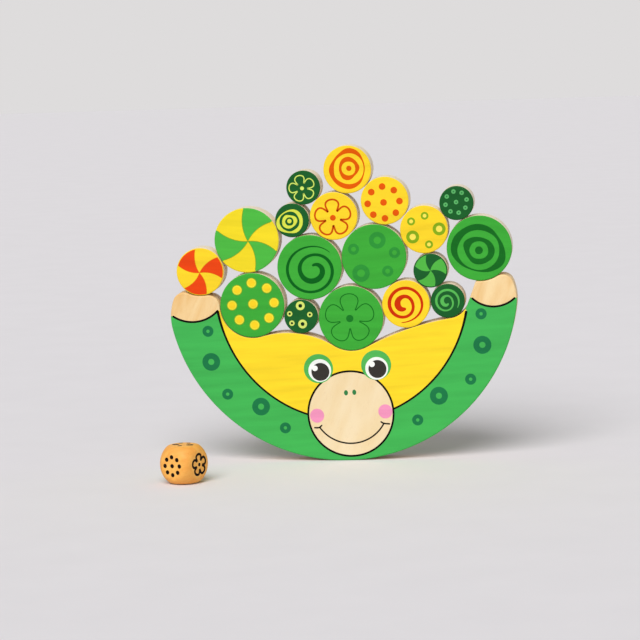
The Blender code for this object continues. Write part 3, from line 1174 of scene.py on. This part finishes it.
@dataclass
class RockerBoard:
    """The crescent board: sawn from one plank, with a round rocking edge, two tips and five hollows.

    Lengths on the board are in millimetres from the rocking axis while the board is upright. The outline is a
    closed chain of circles, each touching the next, anticlockwise from the right end of the standing flat.
    """

    node: str = "rocker"
    lean_deg: float = 2.5
    figure_deg: float = 68.0  # the ripples in the bare wood lie across the grain, tilted to the right
    flat: float = 8.0
    point_step: float = 0.35
    fewest_steps: int = 4
    chain: tuple[tuple[Oval, Bulge], ...] = (
        (Oval(0.0, 0.0, 103.0), OUT),
        (Oval(71.78, -13.30, 30.0), OUT),
        (Oval(94.08, -5.90, 6.5), OUT),
        (Oval(82.0, 16.9, 19.3), IN),
        (Oval(79.51, -3.75, 1.5), OUT),
        (Oval(-199.40, 110.76, 300.0), IN),
        (Oval(61.71, -11.0, 11.9), IN),
        (Oval(79.33, -181.99, 160.0), OUT),
        (Oval(4.4, -19.1, 19.3), IN),
        (Oval(-36.97, -77.78, 52.5), OUT),
        (Oval(-53.03, -7.8, 19.3), IN),
        (Oval(-79.32, -7.26, 7.0), OUT),
        (Oval(-82.0, 18.9, 19.3), IN),
        (Oval(-93.45, -4.22, 6.5), OUT),
        (Oval(-71.78, -13.30, 30.0), OUT),
        (Oval(0.0, 0.0, 103.0), OUT),
    )
    # Colour fields and their lines
    inner_field: Oval = Oval(0.0, 0.0, 74.2, 78.8)
    field_points: int = 900
    field_line: float = 1.10
    field_line_end: float = 1.6
    field_line_taper: float = 0.12  # share of its length in which it thins from its end
    left_bare: Oval = Oval(-88.0, 5.3, 20.7)
    right_bare: Oval = Oval(88.9, 0.25, 17.9)
    bare_points: int = 80
    bare_line: float = 1.2
    # Face
    muzzle: Oval = Oval(0.15, -75.3, 25.1)
    muzzle_points: int = 200
    muzzle_line: float = 1.15
    smile: Oval = Oval(0.15, -70.7, 22.2)
    smile_deg: Pair = (-149, -31)
    smile_points: int = 120
    smile_line: float = 0.85
    smile_ends: tuple[tuple[Pair, Pair, Pair], ...] = (
        ((-22.2, -82.3), (-19.2, -82.4), (-17.2, -81.0)),
        ((17.2, -81.0), (19.2, -82.2), (22.9, -82.8)),
    )
    smile_end_points: int = 24
    eyes: tuple[tuple[Oval, Oval, Oval, Oval], ...] = (
        (Oval(-16.9, -47.5, 8.6), Oval(-16.2, -48.7, 6.7), Oval(-15.9, -49.5, 5.3), Oval(-19.0, -47.2, 1.65)),
        (Oval(17.1, -47.5, 8.8), Oval(17.3, -49.5, 6.7), Oval(17.7, -49.9, 5.3), Oval(14.7, -46.9, 1.65)),
    )
    nostrils: tuple[Oval, ...] = (Oval(-1.8, -62.8, 1.16, 1.57), Oval(3.1, -62.8, 1.16, 1.57))
    cheeks: tuple[Oval, ...] = (Oval(-19.8, -75.3, 4.15), Oval(20.5, -75.2, 4.15))
    # Ring spots on the right: middle, outer and inner radius
    right_spots: tuple[tuple[float, float, float, float], ...] = (
        (79.9, -39.6, 5.25, 1.8), (52.5, -67.9, 5.25, 1.8),
        (80.4, -21.4, 3.25, 1.0), (71.7, -59.3, 3.25, 1.0), (39.1, -81.4, 3.25, 1.0),
    )

    def touch(self, circle: Oval, other: Oval) -> float:
        """Direction, from a circle's middle, of the point where it touches another.

        Args:
            circle: the circle.
            other: the one it touches, from outside or from inside.

        Returns:
            The direction in radians.
        """
        apart = math.hypot(other.x - circle.x, other.z - circle.z)
        side = 1 if circle.across >= other.across or apart > other.across else -1
        return math.atan2(side * (other.z - circle.z), side * (other.x - circle.x))

    def outline(self) -> Array:
        """Outline of the upright board: an arc of each circle of the chain, up to where it meets the next.

        Returns:
            (n, 2) points, anticlockwise.
        """
        middle = -math.pi / 2 - math.radians(self.lean_deg)
        half_flat = math.asin(self.flat / 2 / self.chain[0][0].across)
        start = middle + half_flat
        stretches = []
        following = [circle for circle, _ in self.chain[1:]]
        for (circle, bulge), after in zip(self.chain, [*following, None]):
            end = self.touch(circle, after) if after else middle - half_flat
            turn = ((end - start) * bulge.value % (2 * math.pi)) * bulge.value
            count = max(self.fewest_steps, math.ceil(abs(turn) * circle.across / self.point_step))
            arc = circle.arc(start, start + turn, count + 1)
            stretches.append(arc[:-1] if after else arc)
            if after:
                start = self.touch(after, circle)
        return np.concatenate(stretches)

    def fields(self) -> list[Film]:
        """Draw the two colour fields, rolled over the board's edge, and the black lines along them.

        The printed edge follows the board. It is cut where it enters a tip's bare round or the inner field,
        and closed along those ovals and round the muzzle.

        Returns:
            The films.
        """
        rim = self.outline()
        edge = rim - ROLL_REACH / MM * outward(rim)
        every = np.arange(len(rim))
        on_right, on_left = self.right_bare.holds(edge), self.left_bare.holds(edge)
        right_tip, left_tip = every[on_right], every[on_left]
        top = every[self.inner_field.holds(edge) & ~on_right & ~on_left]
        tip_lines = [
            bare.between(edge[tip[0]], edge[tip[-1]], self.bare_points)
            for bare, tip in ((self.right_bare, right_tip), (self.left_bare, left_tip))
        ]
        border = self.inner_field.between(edge[top[0]], edge[top[-1]], self.field_points)
        at_muzzle = np.flatnonzero(self.muzzle.holds(border))
        right_border, left_border = border[:at_muzzle[0]], border[at_muzzle[-1] + 1:]
        right_turn, left_turn = (self.muzzle.direction(end) for end in (right_border[-1], left_border[0]))
        chin = self.muzzle.arc(right_turn, left_turn - 2 * math.pi, self.muzzle_points)[1:-1]
        brow = self.muzzle.arc(left_turn, right_turn, self.muzzle_points)[1:-1]
        right_run, left_run = every[:right_tip[0]], every[left_tip[-1] + 1:]
        right_horn, left_horn = every[right_tip[-1] + 1:top[0]], every[top[-1] + 1:left_tip[0]]
        green = [
            edge[right_run], tip_lines[0], edge[right_horn], right_border, chin,
            left_border, edge[left_horn], tip_lines[1], edge[left_run],
        ]
        yellow = [edge[top], left_border[::-1], brow, right_border[::-1]]
        rolled = (
            (Ink.BOARD_GREEN, np.concatenate([left_run, right_run])),
            (Ink.BOARD_YELLOW, top),
            (Ink.BOARD_GREEN, right_horn),
            (Ink.BOARD_GREEN, left_horn),
        )
        black = Ink.OUTLINE_BLACK
        films = [
            Film.patch(Ink.BOARD_GREEN, COAT, np.concatenate(green)),
            Film.patch(Ink.BOARD_YELLOW, COAT, np.concatenate(yellow)),
        ]
        films += [Film(ink, COAT, Cover.EDGE, rim[run], edge[run]) for ink, run in rolled if len(run) > 1]
        films += [Film.line(black, DRAWING, line, self.bare_line) for line in tip_lines]
        for border in (right_border, left_border[::-1]):
            swell = np.exp(-np.arange(len(border)) / (self.field_line_taper * len(border)))
            width = self.field_line + (self.field_line_end - self.field_line) * swell
            films.append(Film.line(black, DRAWING, border, width))
        return films

    def face(self) -> list[Film]:
        """Draw the face: the muzzle's line, eyes in four layers, nostrils, cheeks and a smile with ticks.

        Returns:
            The films.
        """
        black = Ink.OUTLINE_BLACK
        half_line = self.muzzle_line / 2
        muzzle = [replace(self.muzzle, across=self.muzzle.across + side) for side in (half_line, -half_line)]
        films = [Film.ring(black, DRAWING, *muzzle, MUZZLE_STEPS)]
        eye_inks = (Ink.EYE_GREEN, Ink.EYE_WHITE, Ink.PUPIL_BLACK, Ink.EYE_WHITE)
        for eye in self.eyes:
            for layer, (ink, oval) in enumerate(zip(eye_inks, eye), start=DETAIL):
                films.append(Film.patch(ink, layer, oval.edge(EYE_STEPS)))
        films += [Film.patch(Ink.NOSTRIL_GREEN, DRAWING, oval.edge(NOSTRIL_STEPS)) for oval in self.nostrils]
        films += [Film.patch(Ink.CHEEK_PINK, DRAWING, oval.edge(CHEEK_STEPS)) for oval in self.cheeks]
        lines = [self.smile.arc(*np.radians(self.smile_deg), self.smile_points)]
        at = np.linspace(0.0, 1.0, self.smile_end_points)
        for tick in np.array(self.smile_ends):
            run = np.linspace(0.0, 1.0, len(tick))
            lines.append(np.stack([through(run, side, at) for side in tick.T], axis=1))
        return films + [Film.line(black, DETAIL, line, self.smile_line) for line in lines]

    def spots(self) -> list[Film]:
        """Draw the ring spots, the same on both sides.

        Returns:
            The films.
        """
        return [
            Film.ring(Ink.SPOT_GREEN, DRAWING, Oval(side * x, z, outer), Oval(side * x, z, inner))
            for x, z, outer, inner in self.right_spots
            for side in (1, -1)
        ]

    def build(self, plank: np.random.Generator) -> None:
        """Make the wood and the print, in place of the CAD node.

        Args:
            plank: draws how the grain runs.
        """
        rock = next(joint for joint in frame["joints"] if joint["name"] == "rock")
        x, _, z = rock["pos_m"]
        place = Place(x, z, math.radians(self.lean_deg), MM)
        wood_half = box_of(self.node)[1][1] - PRINT_ROOM
        origin = np.array([x, 0.0, z])
        stock = Stock(self.node, self.node, "rocker_board", origin, place.turn, plank.uniform(-1.0, 1.0, 3))
        figured = replace(stock, turn=place.turn + math.radians(self.figure_deg))
        board = sanded_plank(place.carry(self.outline()), wood_half)
        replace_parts(figured.add("wood", board, BOARD_BEECH), self.node)
        films = [*self.fields(), *self.face(), *self.spots()]
        stock.add_print([film.placed(place) for film in films], wood_half)


class DieFace(Enum):
    """The six faces of the die, each with its right and up directions and its outward one."""

    FRONT = ((1, 0, 0), (0, 0, 1), (0, -1, 0))
    RIGHT = ((0, 1, 0), (0, 0, 1), (1, 0, 0))
    BACK = ((-1, 0, 0), (0, 0, 1), (0, 1, 0))
    LEFT = ((0, -1, 0), (0, 0, 1), (-1, 0, 0))
    TOP = ((1, 0, 0), (0, 1, 0), (0, 0, 1))
    BASE = ((1, 0, 0), (0, -1, 0), (0, 0, -1))

    def carry(self, flat: Array, height: Array | float) -> Array:
        """Points over the face: (n, 2) places on it, at heights from the die's middle."""
        points = np.column_stack([flat, np.broadcast_to(height, len(flat))])
        return points @ np.array(self.value, dtype=float)


@dataclass
class MotifDie:
    """The tumbled wooden die: a cube with its corners on a ball, and a motif in black on each face."""

    node: str = "motif_die"
    edge: float = 22.0 * MM
    ball: float = 27.6 * MM  # diameter of the ball that the corners are tumbled down to
    sharpness: float = 26.0  # how crisp the flats end; lower is softer
    turn_deg: float = -29.0
    grain_turn: float = 0.3
    print_radius: float = 7.6 * MM
    steps: int = 45
    halvings: int = 30
    seam_digits: int = 8  # points of two faces that agree to so many decimals are joined
    faces: tuple[tuple[DieFace, Motif], ...] = (
        (DieFace.FRONT, Dots(0.0, 0.0, ring=0.67, dot=0.162, first_deg=92, main=Ink.DIE_BLACK)),
        (DieFace.RIGHT, Flower(0.0, 0.0, 96, line=0.185, heart=0.14, scale=1.04, main=Ink.DIE_BLACK)),
        (DieFace.TOP, replace(ARTWORK[MEDIUM, CIRCLES], hole=0.25)),
        (DieFace.BACK, ARTWORK[MEDIUM, SPIRAL]),
        (DieFace.LEFT, ARTWORK[MEDIUM, SWIRL]),
        (DieFace.BASE, ARTWORK[MEDIUM, RINGS]),
    )

    def shares(self, points: Array) -> Array:
        """Points' largest coordinate in half edges and distance in ball radii, both to a high power."""
        parts = np.abs(points).max(axis=1) / self.edge, np.linalg.norm(points, axis=1) / self.ball
        return (2 * np.stack(parts)) ** self.sharpness

    def inside(self, points: Array) -> Array:
        """How far inside the die points are, from the sum of both powers: 1 at its surface, less within."""
        return self.shares(points).sum(axis=0) ** (1 / self.sharpness)

    def level(self, flat: Array) -> Array:
        """Height of the surface over a face's plane coordinates, found by halving.

        Args:
            flat: (n, 2) places on the face.

        Returns:
            (n,) distances from the die's middle.
        """
        low = np.zeros(len(flat))
        high = np.full(len(flat), self.edge / 2)
        for _ in range(self.halvings):
            middle = (low + high) / 2
            within = self.inside(np.column_stack([flat, middle])) < 1
            low = np.where(within, middle, low)
            high = np.where(within, high, middle)
        return low

    def tumbled_cube(self) -> Shape:
        """Tumbled cube: each face's grid of directions, at the distance where the surface lies.

        Returns:
            The die's surface about its middle, with the seams closed.
        """
        run = np.tan(np.linspace(-math.pi / 4, math.pi / 4, self.steps))
        flat = np.stack(np.meshgrid(run, run), axis=-1).reshape(-1, 2)
        quads = skin(np.arange(len(flat)).reshape(self.steps, -1).T)
        cube = np.concatenate([face.carry(flat, 1.0) for face in DieFace]) * self.edge / 2
        points = cube / self.inside(cube)[:, None]
        points = np.round(points, self.seam_digits)
        joined, numbers = np.unique(points, axis=0, return_inverse=True)
        every = np.concatenate([quads + side * len(flat) for side in range(len(DieFace))])
        return Shape(joined, [numbers.reshape(-1)[every]])

    def prints(self) -> Shape:
        """Draw each face's motif in black and lay it over the rounded surface.

        Returns:
            The films, about the die's middle.
        """
        shapes = []
        for face, motif in self.faces:
            for film in replace(motif, main=Ink.DIE_BLACK, accent=None, trap=None).films():
                film = film.placed(Place(0.0, 0.0, scale=self.print_radius))
                fill = film.ringed if film.cover is Cover.PATCH else film.shape
                drawn = fill(-INK_BUILD, INK_BITE)
                flat = drawn.points[:, ::2]
                height = self.level(flat) - PRINT_ROOM / 2 - drawn.points[:, 1]
                shapes.append(Shape(face.carry(flat, height), drawn.faces))
        return Shape.joined(shapes)

    def build(self, plank: np.random.Generator) -> None:
        """Make the wood and the print, in place of the CAD node.

        Args:
            plank: draws how the grain runs.
        """
        middle, _ = box_of(self.node)
        stock = Stock(self.node, "die", "die_wood", middle, self.grain_turn, plank.uniform(-1.0, 1.0, 3))
        body, marks = self.tumbled_cube(), self.prints()
        # How near the ball each point lies: the wood is coloured darker there, where it is rounded off
        rounding = self.shares(body.points)[1]
        body.points *= 1 - PRINT_ROOM / self.edge
        for shape in (body, marks):
            shape.points[:, :2] = turned(shape.points[:, :2], math.radians(self.turn_deg))
            shape.points += middle
        wood = stock.add("wood", body, DIE_BEECH)
        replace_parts(wood, self.node)
        wood.data.attributes.new(ROUNDED_OFF, "FLOAT", "POINT").data.foreach_set("value", rounding)
        stock.add(Ink.DIE_BLACK.name.lower(), marks, ScreenInk(Ink.DIE_BLACK))


@dataclass
class Studio:
    """The pale floor, the soft light and the camera."""

    floor_half: float = 6.0
    floor_drop: float = 0.05 * MM
    floor_steps: int = 9
    world_colour: str = "#F2F2F2"
    world_strength: float = 0.36
    backdrop_colour: str = "#DEDCDC"
    azimuth_deg: float = 6.0
    elevation_deg: float = 6.5
    roll_deg: float = -1.865
    distance: float = 1.6
    aim: Triple = (-0.0139, 0.0, 0.08235)
    lens: float = 152.97
    sensor: float = 36.0
    key_place: Triple = (-0.25, -1.4, 1.50)
    key_spread_deg: float = 45.0  # how wide the soft lamp looks from the floor
    key_strength: float = 2.60

    def build(self) -> None:
        """Set the floor, the light and the camera."""
        self.set_floor()
        self.set_world()
        self.set_lamp()
        self.set_camera()
        bpy.context.scene.view_settings.view_transform = "Standard"

    def set_floor(self) -> None:
        """Lay the floor: a level grid of points, just under the pieces."""
        run = np.linspace(-self.floor_half, self.floor_half, self.floor_steps)
        x, y = (side.ravel() for side in np.meshgrid(run, run))
        points = np.stack([x, y, np.full_like(x, -self.floor_drop)], axis=1)
        quads = skin(np.arange(len(points)).reshape(self.floor_steps, -1).T)
        Shape(points, [quads]).put("floor", StudioPaper())

    def set_world(self) -> None:
        """Set an even world, seen as a pale backdrop."""
        world = bpy.data.worlds.new("studio")
        bpy.context.scene.world = world
        world.use_nodes = True
        tree = world.node_tree
        tree.nodes.clear()
        light = {"Color": linear(self.world_colour), "Strength": self.world_strength}
        sky = add_node(tree, "Background", light)[0]
        backdrop = add_node(tree, "Background", {"Color": linear(self.backdrop_colour), "Strength": 1.0})[0]
        ray = add_node(tree, "LightPath")
        seen = ray["Is Camera Ray"]
        for kind in ("Is Glossy Ray", "Is Transmission Ray"):
            seen = add_node(tree, "Math", {0: seen, 1: ray[kind]}, operation="MAXIMUM")[0]
        shown = add_node(tree, "MixShader", {0: seen, 1: sky, 2: backdrop})[0]
        add_node(tree, "OutputWorld", {"Surface": shown})

    def set_lamp(self) -> None:
        """Set a wide soft lamp above the camera."""
        lamp = bpy.data.lights.new("key", "SUN")
        lamp.angle = math.radians(self.key_spread_deg)
        lamp.energy = self.key_strength
        place = np.array(self.key_place)
        self.stand(lamp, place, self.aim - place)

    def set_camera(self) -> None:
        """Set the camera at the photograph's angle."""
        lens = bpy.data.cameras.new("camera")
        lens.lens = self.lens
        lens.sensor_width = self.sensor
        azimuth, elevation = math.radians(self.azimuth_deg), math.radians(self.elevation_deg)
        level = math.cos(elevation)
        away = np.array([math.sin(azimuth) * level, -math.cos(azimuth) * level, math.sin(elevation)])
        place = self.aim + self.distance * away
        bpy.context.scene.camera = self.stand(lens, place, -away, math.radians(self.roll_deg))

    def stand(self, data: bpy.types.ID, place: Array, forward: Array, roll: float = 0.0) -> bpy.types.Object:
        """Stand a lamp or a camera in its place and point it.

        Args:
            data: the lamp or the camera.
            place: where it stands.
            forward: where it looks.
            roll: its turn about that direction, in radians.

        Returns:
            Its object.
        """
        forward = forward / np.linalg.norm(forward)
        right = np.cross(forward, (0.0, 0.0, 1.0))
        right = right / np.linalg.norm(right)
        sides = turned(np.eye(2), roll) @ np.stack([right, np.cross(right, forward)])
        matrix = np.eye(4)
        matrix[:3] = np.stack([*sides, -forward, place], axis=1)
        item = bpy.data.objects.new(data.name, data)
        item.matrix_world = Matrix(matrix.tolist())
        bpy.context.scene.collection.objects.link(item)
        return item


def main() -> None:
    """Build the board, the discs, the die and the studio."""
    logging.basicConfig(level=logging.INFO, format="%(name)s %(message)s")
    plank = np.random.default_rng(GRAIN_SEED)
    board = RockerBoard()
    board.build(plank)
    for size in DiscSize:
        for motif in MotifName:
            Disc(size, motif, board.lean_deg).build(plank)
    MotifDie().build(plank)
    Studio().build()
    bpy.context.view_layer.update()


if __name__ == "__main__":
    main()
